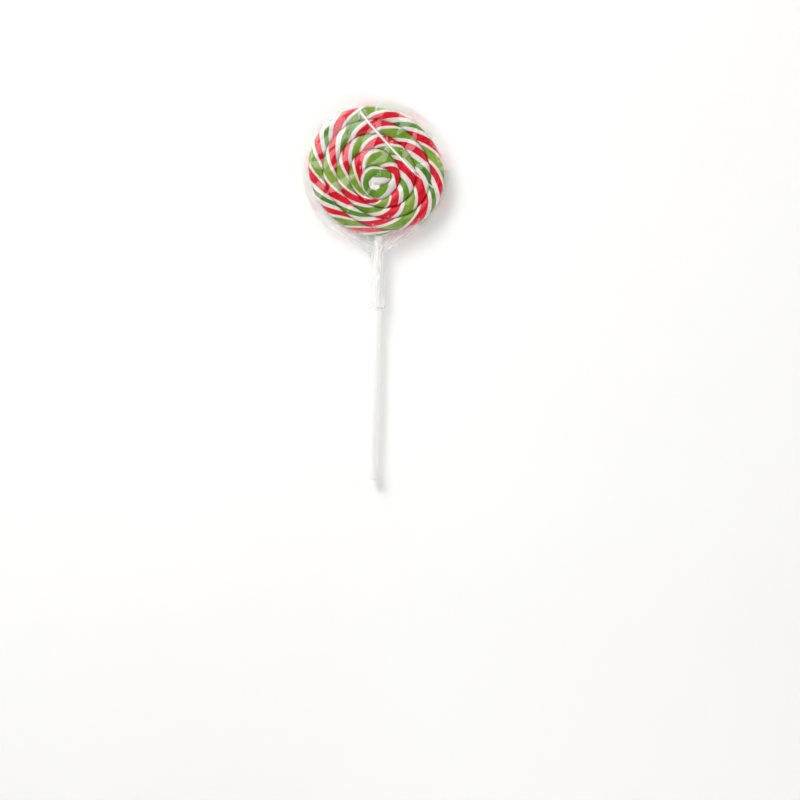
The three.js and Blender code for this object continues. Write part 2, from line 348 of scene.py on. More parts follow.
def ease(x):
    """0 below 0 and 1 above 1, with a smooth step between."""
    x = min(max(x, 0.0), 1.0)
    return x * x * (3 - 2 * x)


def blunt_end(x):
    """A rounded end: 0 at the tip, rising steeply and levelling off at 1."""
    x = min(max(x, 0.0), 1.0)
    return math.sqrt(1 - (1 - x) ** 2)


def lerp(a, b, share):
    return a + (b - a) * share


# ---- Shader helpers --------------------------------------------------------------


def tone(red, green, blue):
    """A colour given as 0 to 255 on a screen, as the linear colour that shaders use."""
    linear = [
        c / 12.92 if c <= 0.04045 else ((c + 0.055) / 1.055) ** 2.4
        for c in (red / 255, green / 255, blue / 255)
    ]
    return (*linear, 1.0)


def feed(tree, socket, source):
    """Links source into socket, or sets it as the socket's value."""
    if isinstance(source, bpy.types.NodeSocket):
        tree.links.new(source, socket)
    else:
        socket.default_value = source


def shader_node(tree, kind, inputs=None, **settings):
    """A node with its settings made and its inputs, by name or number, fed."""
    made = tree.nodes.new(kind)
    for name, value in settings.items():
        setattr(made, name, value)
    for name, source in (inputs or {}).items():
        feed(tree, made.inputs[name], source)
    return made


def sums(tree, operation, *values):
    made = shader_node(tree, "ShaderNodeMath", dict(enumerate(values)), operation=operation)
    return made.outputs[0]


def mapped(tree, value, from_low, from_high, to_low=0.0, to_high=1.0, soft=False):
    """A value moved from one range to another and held inside it."""
    made = shader_node(
        tree,
        "ShaderNodeMapRange",
        {0: value, 1: from_low, 2: from_high, 3: to_low, 4: to_high},
        interpolation_type="SMOOTHSTEP" if soft else "LINEAR",
    )
    return made.outputs[0]


def marked(tree, name):
    """A value that the mesh carries at each of its points."""
    made = shader_node(
        tree, "ShaderNodeAttribute", attribute_type="GEOMETRY", attribute_name=name
    )
    return made.outputs["Fac"]


def blend(tree, share, low, high, blend_type="MIX"):
    made = shader_node(
        tree, "ShaderNodeMix", {0: share, 6: low, 7: high}, data_type="RGBA", blend_type=blend_type
    )
    return made.outputs[2]


def grain(tree, vector, scale, detail=2.0, roughness=0.5):
    made = shader_node(
        tree,
        "ShaderNodeTexNoise",
        {"Vector": vector, "Scale": scale, "Detail": detail, "Roughness": roughness},
    )
    return made.outputs[0]


def ramp(tree, value, stops):
    """A colour ramp through (place, colour) stops in order."""
    made = shader_node(tree, "ShaderNodeValToRGB", {0: value})
    points = made.color_ramp.elements
    while len(points) < len(stops):
        points.new(0.5)
    for point, (place, colour) in zip(points, stops):
        point.position = place
        point.color = colour
    return made.outputs[0]


def new_material(name):
    material = bpy.data.materials.new(name)
    material.use_nodes = True
    tree = material.node_tree
    surface = tree.nodes["Principled BSDF"]
    return material, tree, surface


def own_place(tree):
    """Where a point lies on its own piece."""
    return shader_node(tree, "ShaderNodeTexCoord").outputs["Object"]


def bumped(tree, strength, distance, height, normal=None):
    """The way the surface faces once a height has roughened it."""
    inputs = {"Strength": strength, "Distance": distance * MM, "Height": height}
    if normal is not None:
        inputs["Normal"] = normal
    return shader_node(tree, "ShaderNodeBump", inputs).outputs[0]


def set_values(shader, values):
    """Sets a shader's own inputs, by name."""
    for name, value in values.items():
        shader.inputs[name].default_value = value


def nudged(tree, value, share, towards):
    """A value moved a share of the way towards another."""
    gap = sums(tree, "SUBTRACT", value, towards)
    return sums(tree, "SUBTRACT", value, sums(tree, "MULTIPLY", share, gap))


def scaled(tree, vector, factors):
    made = shader_node(
        tree, "ShaderNodeVectorMath", {0: vector, 1: factors}, operation="MULTIPLY"
    )
    return made.outputs[0]


def across_from(tree, place, middle):
    """How far a place lies from a middle, seen from above."""
    made = shader_node(
        tree,
        "ShaderNodeVectorMath",
        {0: scaled(tree, place, (1, 1, 0)), 1: (middle.x * MM, middle.y * MM, 0)},
        operation="DISTANCE",
    )
    return made.outputs["Value"]


def mixed(tree, share, low, high):
    """Two shaders mixed."""
    made = shader_node(tree, "ShaderNodeMixShader", {0: share, 1: low, 2: high})
    return made.outputs[0]


# ---- Mesh helpers ----------------------------------------------------------------


def in_scene(name, data):
    """A new object in the scene."""
    made = bpy.data.objects.new(name, data)
    bpy.context.scene.collection.objects.link(made)
    return made


def mesh_object(maker, name):
    """An object from a bmesh, which is used up."""
    mesh = bpy.data.meshes.new(name)
    maker.to_mesh(mesh)
    maker.free()
    return in_scene(name, mesh)


def finished(maker, name, material):
    """A piece from a bmesh, with its place in its mesh, riding on the body."""
    piece = mesh_object(maker, name)
    piece.data.materials.append(material)
    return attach(piece, "root")


# ---- Camera, floor and lights ----------------------------------------------------


def make_camera():
    data = bpy.data.cameras.new("camera")
    data.lens = LENS
    data.sensor_width = SENSOR
    height = FRAME_WIDTH / SENSOR * LENS
    camera = in_scene("camera", data)
    camera.location = Vector((*FRAME_MIDDLE, MIDDLE_Z + height)) * MM
    bpy.context.scene.camera = camera


def floor_material():
    material, tree, surface = new_material("pale_floor")
    cloud = mapped(tree, grain(tree, own_place(tree), 3.0), 0.3, 0.7)
    colour = blend(tree, cloud, tone(249, 248, 247), tone(252, 252, 251))
    feed(tree, surface.inputs["Base Color"], colour)
    set_values(surface, {"Roughness": 0.9, "Specular IOR Level": 0.1})
    return material


def make_floor(material):
    maker = bmesh.new()
    bmesh.ops.create_grid(maker, x_segments=1, y_segments=1, size=FLOOR_HALF_WIDTH * MM)
    bmesh.ops.translate(maker, vec=(0, 0, -FLOOR_DROP * MM), verts=maker.verts)
    floor = mesh_object(maker, "floor")
    floor.data.materials.append(material)


def pane(name, place, aim, width, height, radiance):
    """A rectangular lamp at place, turned to aim, all in millimetres."""
    data = bpy.data.lights.new(name, "AREA")
    data.shape = "RECTANGLE"
    data.size = width * MM
    data.size_y = height * MM
    data.energy = radiance * math.pi * width * height * MM * MM
    lamp = in_scene(name, data)
    lamp.location = Vector(place) * MM
    lamp.rotation_mode = "QUATERNION"
    lamp.rotation_quaternion = (Vector(aim) - Vector(place)).to_track_quat("-Z", "Y")
    return lamp


def glow(name, place, aim, width, height, radiance):
    """A pane that only gloss shows."""
    pane(name, place, aim, width, height, radiance).visible_diffuse = False


def softbox(name, place, aim, width, height, radiance):
    """A soft lamp that film doesn't mirror as a hard white sheet from any side."""
    pane(name, place, aim, width, height, radiance).visible_glossy = False
    wide, high = width * GLOW_SPREAD, height * GLOW_SPREAD
    glow(name + "_glow", place, aim, wide, high, radiance / GLOW_SPREAD**2)


def make_room():
    """A room pale round its walls and dim overhead, so that level gloss stays clear."""
    world = bpy.data.worlds.new("studio")
    world.use_nodes = True
    tree = world.node_tree
    sky = tree.nodes["Background"]
    towards = shader_node(tree, "ShaderNodeTexCoord").outputs["Generated"]
    upward = shader_node(tree, "ShaderNodeSeparateXYZ", {0: towards}).outputs[2]
    walls = tone(255, 254, 252)
    ceiling = tone(64, 64, 64)
    stops = [(0.0, walls), (ROOM_PALE_TO, walls), (ROOM_DIM_FROM, ceiling)]
    feed(tree, sky.inputs["Color"], ramp(tree, upward, stops))
    sky.inputs["Strength"].default_value = ROOM_STRENGTH
    bpy.context.scene.world = world


def make_lights():
    for lamp in SOFTBOXES:
        softbox(*lamp)
    pane(*OVERHEAD_PANEL)
    for lamp in SPARKS:
        glow(*lamp)


# ---- The sugar rope --------------------------------------------------------------


def groove_at(turn):
    """The groove outside the strand, seen from above."""
    angle = 2 * math.pi * turn
    oval = (OVAL_ACROSS + OVAL_ACROSS_GROWTH * turn) * math.cos(2 * angle)
    oval += (OVAL_SLANT + OVAL_SLANT_GROWTH * turn) * math.sin(2 * angle)
    bulge = sum(
        far * math.exp(-(((turn - at) / spread) ** 2)) for far, at, spread in INNER_END_BULGES
    )
    radius = ROPE_FIRST_REACH + ROPE_PITCH * turn + oval + bulge
    from_sag = (turn - INNER_END_SAG_AT) / INNER_END_SAG_SPREAD
    centre = COIL_CENTRE + COIL_DRIFT * turn + COIL_DRIFT_EASE * turn * turn
    centre.y -= INNER_END_SAG * math.exp(-(from_sag**2))
    point = centre + radius * Vector((math.cos(angle), math.sin(angle)))
    opened = math.sqrt(ease((turn - ROPE_START) / INNER_END_LENGTH))
    return EYE.lerp(point, opened)


def inner_edge(turn):
    return EYE.copy() if turn - 1 <= ROPE_START else groove_at(turn - 1)


def rim_swell(turn):
    """How far the rope's side swells past its upper edge: only on the free rim."""
    grown = ease((turn - ROPE_END + 1) / RIM_SWELL_LENGTH)
    return RIM_SWELL * grown * blunt_end((ROPE_END - turn) / OUTER_END_ROUND)


def pushed_out(point, turn, distance):
    angle = 2 * math.pi * turn
    return point + distance * Vector((math.cos(angle), math.sin(angle)))


def outer_edge(turn):
    edge = pushed_out(groove_at(turn), turn, -rim_swell(turn))
    return inner_edge(turn).lerp(edge, blunt_end((ROPE_END - turn) / OUTER_END_LENGTH))


def eye_share(turn):
    """1 where the groove leaves the eye of the swirl, 0 where it has its full depth."""
    return 1 - ease((turn - ROPE_START) / EYE_LENGTH)


def shown_at(turn):
    """How much of the pattern the face shows at this turn."""
    return float(np.interp(turn, [t for t, _ in FACE_SHOWS], [s for _, s in FACE_SHOWS]))


def narrow_green_at(turn):
    """How much wider the narrow green stripe is at this turn, and how pale."""
    turns, wider, paler = zip(*NARROW_GREEN_VARIES)
    return float(np.interp(turn, turns, wider)), float(np.interp(turn, turns, paler))


def twist_at(turn):
    """How many red stripes have crossed the rope's crown by this turn."""
    turns = [t for t, _ in INNER_END_TWIST] + list(RED_STRIPES)
    rounds = [r for _, r in INNER_END_TWIST]
    rounds += [FIRST_RED_STRIPE + n for n in range(len(RED_STRIPES))]
    near = [turn + TWIST_EASE * step for step in (-2, -1, 0, 1, 2)]
    return float(np.interp(near, turns, rounds).mean())


class Face:
    """One face of the disc: the rope's half height, and the groove's and the eye's."""

    def __init__(self, half, groove, eye, squareness):
        self.half = half
        self.groove = groove
        self.eye = eye
        self.power = 2 / squareness

    def edge(self, turn):
        return lerp(self.groove, self.eye, eye_share(turn))


TOP = Face(ROPE_TOP_HALF, GROOVE_TOP, EYE_TOP, ROPE_TOP_SQUARENESS)
BOTTOM = Face(ROPE_BOTTOM_HALF, GROOVE_BOTTOM, EYE_BOTTOM, ROPE_BOTTOM_SQUARENESS)


class Strand:
    """What is the same all across the rope's face at one turn."""

    def __init__(self, turn, face):
        self.turn = turn
        self.face = face
        self.inner = inner_edge(turn)
        self.outer = outer_edge(turn)
        self.edges = (face.edge(turn - 1), face.edge(turn))
        risen = ease((turn - ROPE_START) / INNER_END_LENGTH)
        left = blunt_end((ROPE_END - turn) / OUTER_END_ROUND)
        lowest = max(self.edges)
        self.crown = max(lowest, lerp(lowest, face.half, risen * left))
        self.reaches = [
            math.acos(min(1.0, (edge / self.crown) ** (1 / face.power))) for edge in self.edges
        ]
        self.twist = twist_at(turn)
        self.shows = shown_at(turn)
        self.narrow_green = narrow_green_at(turn)
        self.rim = ease((turn - ROPE_END + 1) / RIM_SWELL_LENGTH)

    def sideways(self, across):
        """From -1 at the inner groove to 1 at the outer one."""
        reach = self.reaches[across > 0]
        if abs(across) >= 1 or reach == 0:
            return across
        wide = (math.sin(abs(across) * reach) / math.sin(reach)) ** self.face.power
        return math.copysign(wide, across)

    def height(self, across):
        if abs(across) >= 1:
            return self.edges[across > 0]
        reach = self.reaches[across > 0]
        return self.crown * math.cos(abs(across) * reach) ** self.face.power

    def plan(self, across):
        return self.inner.lerp(self.outer, (1 + self.sideways(across)) / 2)

    def out_of_groove(self, across):
        """0 in a groove, 1 on the crown, at the eye and on the free rim."""
        shallow = eye_share(self.turn if across > 0 else self.turn - 1)
        free = self.rim if across > 0 else 0.0
        return lerp(1 - abs(across), 1.0, max(free, ease(shallow * EYE_OPENING)))

    def pattern_above(self, across):
        """How much of the pattern lies between the crown and a place on the upper face."""
        return max(self.sideways(across) * self.shows, -INNER_END_WHITE - self.twist)

    def pattern_below(self, across):
        """The same for the lower face, on round the rope from the outer side."""
        inner = PATTERN_ROUND - self.shows
        outer = lerp(self.shows, RIM_BOTTOM_SHOWS, self.rim)
        return lerp(inner, outer, (1 + self.sideways(across)) / 2)


def rope_sheet(maker, steps, steps_across, strand_at, place):
    """A grid of the rope's surface, placed by place(strand, y) with y from -1 to 1."""
    verts = bmesh.ops.create_grid(
        maker, x_segments=steps, y_segments=steps_across, size=1.0
    )["verts"]
    strands = {}
    marks = {}
    for vert in verts:
        step = round((vert.co.x + 1) / 2 * steps)
        if step not in strands:
            strands[step] = strand_at(step / steps)
        point, round_place, depth = place(strands[step], vert.co.y)
        marks[vert] = (strands[step].twist, round_place, depth, *strands[step].narrow_green)
        vert.co = point * MM
    return marks


def top_place(strand, y):
    across = -y
    plan = strand.plan(across)
    spot = Vector((plan.x, plan.y, MIDDLE_Z + strand.height(across)))
    return spot, strand.pattern_above(across), strand.out_of_groove(across)


def bottom_place(strand, y):
    plan = strand.plan(y)
    spot = Vector((plan.x, plan.y, MIDDLE_Z - strand.height(y)))
    return spot, strand.pattern_below(y), strand.out_of_groove(y)


def rim_place(strand, y):
    up = abs(y)
    plan = pushed_out(outer_edge(strand.turn), strand.turn, rim_swell(strand.turn) * (1 - up * up))
    edge = GROOVE_TOP if y > 0 else -GROOVE_BOTTOM
    spot = Vector((plan.x, plan.y, MIDDLE_Z + edge * up))
    return spot, lerp(RIM_BOTTOM_SHOWS, RIM_TOP_SHOWS, (1 + y) / 2), 1.0


def make_candy(material):
    maker = bmesh.new()
    rope_map = maker.loops.layers.uv.new("rope")
    depth_mark = maker.verts.layers.float.new("out_of_groove")
    wider_mark = maker.verts.layers.float.new("green_wider")
    paler_mark = maker.verts.layers.float.new("green_paler")
    steps = round((ROPE_END - ROPE_START) * STEPS_PER_TURN)

    def on_top(share):
        return Strand(lerp(ROPE_START, ROPE_END, share), TOP)

    def below(share):
        return Strand(lerp(ROPE_START, ROPE_END, share), BOTTOM)

    def last_turn(share):
        return Strand(ROPE_END - 1 + share, TOP)

    marks = rope_sheet(maker, steps, STEPS_ACROSS_TOP, on_top, top_place)
    marks.update(rope_sheet(maker, steps, STEPS_ACROSS_BOTTOM, below, bottom_place))
    marks.update(rope_sheet(maker, STEPS_PER_TURN, STEPS_DOWN_RIM, last_turn, rim_place))

    for vert, (_, _, depth, wider, paler) in marks.items():
        vert[depth_mark] = depth
        vert[wider_mark] = wider
        vert[paler_mark] = paler
    for face in maker.faces:
        for corner in face.loops:
            corner[rope_map].uv = marks[corner.vert][:2]
    bmesh.ops.remove_doubles(maker, verts=maker.verts, dist=ROPE_WELD * MM)
    bmesh.ops.dissolve_degenerate(maker, dist=SLIVER * MM, edges=maker.edges)
    bmesh.ops.recalc_face_normals(maker, faces=maker.faces)
    for face in maker.faces:
        face.smooth = True
    for edge in maker.edges:
        if all(vert[depth_mark] < IN_GROOVE for vert in edge.verts):
            edge.smooth = False

    candy = finished(maker, "sugar_rope_disc", material)
    bore_socket(candy)
    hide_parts("candy")


def seated_bar(maker, radius, length, sides):
    """A round bar from just above the stick's upper end down along the leaning stick."""
    made = bmesh.ops.create_cone(
        maker,
        cap_ends=True,
        segments=sides,
        radius1=radius * MM,
        radius2=radius * MM,
        depth=length * MM,
    )["verts"]
    bmesh.ops.translate(maker, vec=(0, 0, -length / 2 * MM), verts=made)
    upright = Matrix.Rotation(-math.pi / 2, 4, "X")
    lean = Matrix.Rotation(-STICK_LEAN, 4, "Z")
    bmesh.ops.transform(maker, matrix=lean @ upright, verts=made)
    seat = Vector((STICK_TOP.x, STICK_TOP.y, MIDDLE_Z)) * MM
    bmesh.ops.translate(maker, vec=seat, verts=made)


def bore_socket(candy):
    """Cuts the stick's hole into the disc's lower edge."""
    maker = bmesh.new()
    seated_bar(maker, STICK_RADIUS + SOCKET_GAP, STICK_LENGTH, SOCKET_SIDES)
    bmesh.ops.translate(maker, vec=(0, SOCKET_GAP * MM, 0), verts=maker.verts)
    cutter = mesh_object(maker, "socket_cutter")
    cut = candy.modifiers.new("socket", "BOOLEAN")
    cut.operation = "DIFFERENCE"
    cut.solver = "EXACT"
    cut.object = cutter
    applied = bpy.data.meshes.new_from_object(
        candy.evaluated_get(bpy.context.evaluated_depsgraph_get())
    )
    candy.modifiers.clear()
    candy.data = applied
    bpy.data.objects.remove(cutter)


def stripe_stops(stripes):
    """Stops of a ramp once round the pattern that is 1 inside each (middle, half width)."""
    on, off = (1, 1, 1, 1), (0, 0, 0, 1)
    stops = []
    for middle, half in stripes:
        for place, colour in (
            (middle - half - STRIPE_EDGE, off),
            (middle - half, on),
            (middle + half, on),
            (middle + half + STRIPE_EDGE, off),
        ):
            if 0 <= place <= PATTERN_ROUND:
                stops.append((place / PATTERN_ROUND, colour))
    return stops


def streaky(tree, tones, uneven, streaked):
    """A colour of sugar from (deep, pale, streaks): deep to pale, and streaked over that."""
    deep, pale, streaks = (tone(*colour) for colour in tones)
    return blend(tree, streaked, blend(tree, uneven, deep, pale), streaks)


def sugar_material():
    material, tree, surface = new_material("striped_sugar")
    rope = shader_node(tree, "ShaderNodeUVMap", uv_map="rope").outputs[0]
    place = own_place(tree)
    split = shader_node(tree, "ShaderNodeSeparateXYZ", {0: rope})
    twist, around = split.outputs[0], split.outputs[1]

    # The stripes wander a little, as hand-pulled sugar does.
    slow, fast = grain(tree, place, 75.0, 0.0), grain(tree, place, 420.0, 0.0)
    wander = mapped(tree, slow, 0.2, 0.8, -STRIPE_WANDER, STRIPE_WANDER)
    shiver = mapped(tree, fast, 0.2, 0.8, -STRIPE_SHIVER, STRIPE_SHIVER)
    along = sums(tree, "ADD", sums(tree, "ADD", twist, around), sums(tree, "ADD", wander, shiver))
    stripe = sums(tree, "FRACT", sums(tree, "DIVIDE", along, PATTERN_ROUND))

    # Streaks run along each stripe, where the sugar was drawn out.
    drawn = shader_node(tree, "ShaderNodeCombineXYZ", {0: along, 1: around}).outputs[0]
    streak = grain(tree, scaled(tree, drawn, (46.0, 2.2, 1.0)), 1.0, 3.0, 0.6)
    fine_streak = grain(tree, scaled(tree, drawn, (120.0, 3.0, 1.0)), 1.0, 2.0, 0.5)
    cloud = grain(tree, place, 90.0, 2.0)
    patch = grain(tree, place, 240.0, 1.0)

    # At the eye of the swirl the sugar was rolled, not drawn.
    from_eye = across_from(tree, place, EYE)
    rolled = mapped(
        tree, from_eye, ROLLED_TO * MM, DRAWN_FROM * MM, ROLLED_FADE, 0.0, soft=True
    )
    streak = nudged(tree, streak, rolled, STREAK_MIDDLE)
    fine_streak = nudged(tree, fine_streak, rolled, STREAK_MIDDLE)

    clouded = mapped(tree, cloud, 0.35, 0.65)
    patched = mapped(tree, patch, 0.35, 0.7)
    green_streaked = mapped(tree, streak, 0.4, 0.75, 0.0, 0.4)
    red_streaked = mapped(tree, streak, 0.4, 0.75, 0.0, 0.3)
    white_streaked = mapped(tree, streak, 0.35, 0.7)
    finely_streaked = mapped(tree, fine_streak, 0.4, 0.7, 0.0, 0.3)
    grass_green = streaky(tree, GRASS_GREEN, clouded, green_streaked)
    leaf_green = streaky(tree, LEAF_GREEN, clouded, green_streaked)
    grass_green = blend(tree, marked(tree, "green_paler"), grass_green, leaf_green)
    red = streaky(tree, RED, patched, red_streaked)
    white = streaky(tree, WHITE, white_streaked, finely_streaked)

    # Painted shade darkens the sugar in the grooves, and darkens it least where it is white.
    depth = marked(tree, "out_of_groove")
    groove = mapped(tree, depth, 0.0, GROOVE_SHADE_REACH, GROOVE_SHADE, 0.0, soft=True)
    uneven = mapped(tree, grain(tree, place, 55.0, 1.0), 0.35, 0.65, 0.35, 1.0)
    shade = sums(tree, "MULTIPLY", groove, uneven)
    white = blend(tree, shade, white, tone(*WHITE_PAINTED_GROOVE_SHADE), "MULTIPLY")

    from_narrow_green = sums(
        tree, "SUBTRACT", sums(tree, "PINGPONG", along, 1.0), marked(tree, "green_wider")
    )
    on_narrow_green = mapped(
        tree, from_narrow_green, NARROW_GREEN_HALF, NARROW_GREEN_HALF + STRIPE_EDGE, 1.0, 0.0
    )
    broad_green_stops = stripe_stops(((1.0, BROAD_GREEN_HALF),))
    red_stops = stripe_stops(((0.5, NARROW_RED_HALF), (1.5, BROAD_RED_HALF)))
    stripes = (
        (on_narrow_green, grass_green),
        (ramp(tree, stripe, broad_green_stops), leaf_green),
        (ramp(tree, stripe, red_stops), red),
    )
    colour = white
    for on_stripe, sugar in stripes:
        # Each stripe takes the painted groove shade as well.
        shaded = blend(tree, shade, sugar, tone(*STRIPE_PAINTED_GROOVE_SHADE), "MULTIPLY")
        colour = blend(tree, on_stripe, colour, shaded)

    feed(tree, surface.inputs["Base Color"], colour)
    feed(tree, surface.inputs["Roughness"], mapped(tree, cloud, 0.3, 0.7, 0.24, 0.36))
    set_values(
        surface,
        {
            "Subsurface Weight": 0.12,
            "Subsurface Radius": (1.0, 0.6, 0.4),
            "Subsurface Scale": 0.0012,
            "IOR": 1.5,
            "Specular IOR Level": 0.26,
            "Coat Weight": 0.06,
            "Coat Roughness": 0.08,
        },
    )
    relief = sums(tree, "MULTIPLY", streak, 0.6)
    relief = sums(tree, "ADD", relief, sums(tree, "MULTIPLY", patch, 0.8))
    feed(tree, surface.inputs["Normal"], bumped(tree, 0.5, SUGAR_RELIEF, relief))
    return material


# ---- The stick -------------------------------------------------------------------


def stick_material():
    material, tree, surface = new_material("satin_stick")
    place = own_place(tree)
    drawn = scaled(tree, place, (900.0, 40.0, 900.0))
    lines = grain(tree, drawn, 1.0, 3.0, 0.6)
    cloud = grain(tree, place, 60.0, 2.0)
    lined = mapped(tree, lines, 0.35, 0.7)
    clouded = mapped(tree, cloud, 0.4, 0.75, 0.0, 0.5)
    colour = blend(tree, lined, tone(247, 247, 246), tone(238, 237, 235))
    colour = blend(tree, clouded, colour, tone(241, 239, 237))
    # The cut end is a little yellower than the polished side.
    along = shader_node(tree, "ShaderNodeSeparateXYZ", {0: place}).outputs[1]
    cut = mapped(tree, along, CUT_END_Y[0] * MM, CUT_END_Y[1] * MM, 0.6, 0.0)
    colour = blend(tree, cut, colour, tone(226, 215, 200))
    feed(tree, surface.inputs["Base Color"], colour)
    feed(tree, surface.inputs["Roughness"], mapped(tree, lines, 0.3, 0.7, 0.34, 0.5))
    set_values(surface, {"Subsurface Weight": 0.1, "Subsurface Scale": 0.001})
    feed(tree, surface.inputs["Normal"], bumped(tree, 0.25, STICK_RELIEF, lines))
    return material


def make_stick(material):
    maker = bmesh.new()
    seated_bar(maker, STICK_RADIUS, STICK_LENGTH, STICK_SIDES)
    rims = [edge for edge in maker.edges if any(len(face.verts) > 4 for face in edge.link_faces)]
    bmesh.ops.bevel(
        maker,
        geom=rims,
        offset=STICK_CHAMFER * MM,
        segments=STICK_CHAMFER_STEPS,
        profile=0.5,
        affect="EDGES",
        material=-1,
    )
    for face in maker.faces:
        face.smooth = len(face.verts) == 4
        if not face.smooth:
            for edge in face.edges:
                edge.smooth = False
    stick = finished(maker, "round_stick", material)
    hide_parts("stick")


# ---- The film bag ----------------------------------------------------------------


def stick_x(y):
    """Where the stick's axis lies, at a distance along Y."""
    return STICK_TOP.x + (y - STICK_TOP.y) * math.tan(STICK_LEAN)


def bag_station(row):
    """Where a row of the bag lies along Y, from the far pole to the tail's end."""
    side_angle = math.acos(BAG_SIDE_Y / BAG_RADIUS)
    if row <= BAG_HEAD_ROWS:
        return BAG_RADIUS * math.cos(side_angle * row / BAG_HEAD_ROWS)
    if row <= BAG_HEAD_ROWS + BAG_GATHER_ROWS:
        return lerp(BAG_SIDE_Y, NECK_Y, (row - BAG_HEAD_ROWS) / BAG_GATHER_ROWS)
    return lerp(NECK_Y, TAIL_END_Y, (row - BAG_HEAD_ROWS - BAG_GATHER_ROWS) / BAG_TAIL_ROWS)


def way_round(step):
    """The angle from +X, over the top or underneath, with finer steps over the top."""
    if step <= BAG_STEPS_OVER:
        even, side = 1 - 2 * step / BAG_STEPS_OVER, 1
    else:
        even, side = 2 * (step - BAG_STEPS_OVER) / BAG_STEPS_UNDER - 1, -1
    evened = lerp(even, math.sin(even * math.pi / 2), BAG_STEPS_EVENED)
    return math.acos(evened), side


def golden(number):
    """The same well spread share between 0 and 1 for a number each time."""
    return number * GOLDEN % 1


def rim_flats():
    """The flats round the edge: (direction, how far out it starts, how steeply it falls)."""
    flats = list(GLARE_FLATS)
    for number in range(RIM_FLATS):
        wander = RIM_FLAT_WANDER * golden(number + SECOND_SHARE)
        direction = 360 / RIM_FLATS * (number + wander)
        if abs(direction - GLARE_DIRECTION) > GLARE_SPREAD:
            reach = RIM_FLAT_REACH + RIM_FLAT_REACH_SPREAD * golden(number)
            fall = lerp(*RIM_FLAT_FALLS, golden(number + THIRD_SHARE))
            flats.append((direction, reach, fall))
    return [(math.radians(d), reach, math.tan(math.radians(fall))) for d, reach, fall in flats]


def pouch_half(x, y, half, flats):
    """Half the pouch's thickness: level over the disc, falling away to its edge."""
    past = max(0.0, math.hypot(x, y) - BAG_SHOULDER) / (BAG_RADIUS - BAG_SHOULDER)
    height = half * max(0.0, 1 - past**BAG_SQUARENESS) ** (1 / BAG_SQUARENESS)
    for direction, reach, fall in flats:
        out = x * math.cos(direction) + y * math.sin(direction) - reach
        height = min(height, half - fall * out)
    return height


def facet_ridge(x, y):
    """1 on a ridge between two taut facets, falling evenly to 0 inside them."""
    along = x * math.cos(FACET_LEAN) + y * math.sin(FACET_LEAN)
    across = y * math.cos(FACET_LEAN) - x * math.sin(FACET_LEAN)
    place = Vector((along / FACET_LENGTH, across / FACET_WIDTH, FACET_SEED))
    near, points = noise.voronoi(place, distance_metric="DISTANCE_SQUARED")
    to_edge = (near[1] - near[0]) / (2 * (points[1] - points[0]).length)
    return 1 - min(1.0, to_edge / FACET_REACH)


def pleat_ridge(angle, y):
    """1 on a pleat's ridge and -1 in its valley: uneven, with finer ones between."""
    place = Vector((math.cos(angle), math.sin(angle), 0)) * PLEATS_ROUND
    place.z = y / PLEAT_RUN
    broad = 1 - PLEAT_CREST * abs(noise.noise(place))
    fine = 1 - PLEAT_CREST * abs(noise.noise(place * FINE_PLEATS))
    return max(-1.0, lerp(broad, fine, FINE_PLEATS_SHARE))


def bag_point(row, step, flats):
    """A point of the film, and how milky the pleats make it."""
    y = bag_station(row)
    angle, side = way_round(step)
    side_half_width = math.sqrt(BAG_RADIUS**2 - BAG_SIDE_Y**2)
    gathered = min(max((BAG_SIDE_Y - y) / (BAG_SIDE_Y - NECK_Y), 0.0), 1.0)
    tailed = min(max((NECK_Y - y) / (NECK_Y - TAIL_END_Y), 0.0), 1.0)
    chord = math.sqrt(max(0.0, BAG_RADIUS**2 - y * y))
    neck_half_width = NECK_HALF_WIDTH + TAIL_FLARE * tailed
    half_width = chord if row <= BAG_HEAD_ROWS else lerp(side_half_width, neck_half_width, gathered)

    half = BAG_TOP_HALF if side > 0 else MIDDLE_Z + BAG_PRESSED
    pouch = pouch_half(chord * math.cos(angle), y, half, flats if side > 0 else ())
    tube = lerp(half, NECK_HALF_HEIGHT + TAIL_FLARE * tailed, ease(gathered)) * math.sin(angle)
    height = lerp(pouch, tube, ease((BAG_SIDE_Y - y) / (BAG_SIDE_Y + BAG_RADIUS)))

    pleat = pleat_ridge(side * angle, y)
    pleated = ease((PLEATS_START_Y - y) / (PLEATS_START_Y - NECK_Y))
    depth = lerp(*PLEAT_DEPTHS, ease(tailed * PLEAT_DEPTH_CHANGE)) * pleated * pleat
    x = (half_width + depth) * math.cos(angle) + stick_x(y) * ease(gathered)
    z = MIDDLE_Z + side * (height + depth * math.sin(angle))
    torn = 1 + noise.noise(Vector((x, z, 0)) / TAIL_TEAR_WIDTH)
    torn *= TAIL_UNEVEN * tailed**TAIL_TEAR_POWER
    if side > 0:
        level = ease(1 + FACET_FADE * (height / BAG_TOP_HALF - 1)) * (1 - pleated)
        z -= FACET_DEPTH * level * (1 - facet_ridge(x, y))
        if math.hypot(x, y) < BAG_SHOULDER:
            z = max(z, MIDDLE_Z + ROPE_TOP_HALF + FILM_OVER_SUGAR)
    z = min(max(z, FILM_INSET), MIDDLE_Z + BAG_TOP_HALF - FILM_INSET)
    milk = lerp(*PLEAT_MILK, tailed) * pleated * max(0.0, pleat) ** PLEAT_MILK_POWER
    return Vector((x, y + torn, z)), milk


def fold_segments():
    """Each straight stretch of the folds, with its half width and how white it is."""
    for half_width, white, points in FOLDS:
        for number in range(len(points) - 1):
            start, end = Vector(points[number]), Vector(points[number + 1])
            yield start, end, half_width, white, number == 0, number == len(points) - 2


def from_segment(places, start, end):
    """How far places lie from a segment, and how far along it, as arrays."""
    run = np.array(end - start)
    from_start = places - np.array(start)
    along = np.clip(from_start @ run / (run @ run), 0.0, 1.0)
    return np.linalg.norm(from_start - along[:, None] * run, axis=1), along


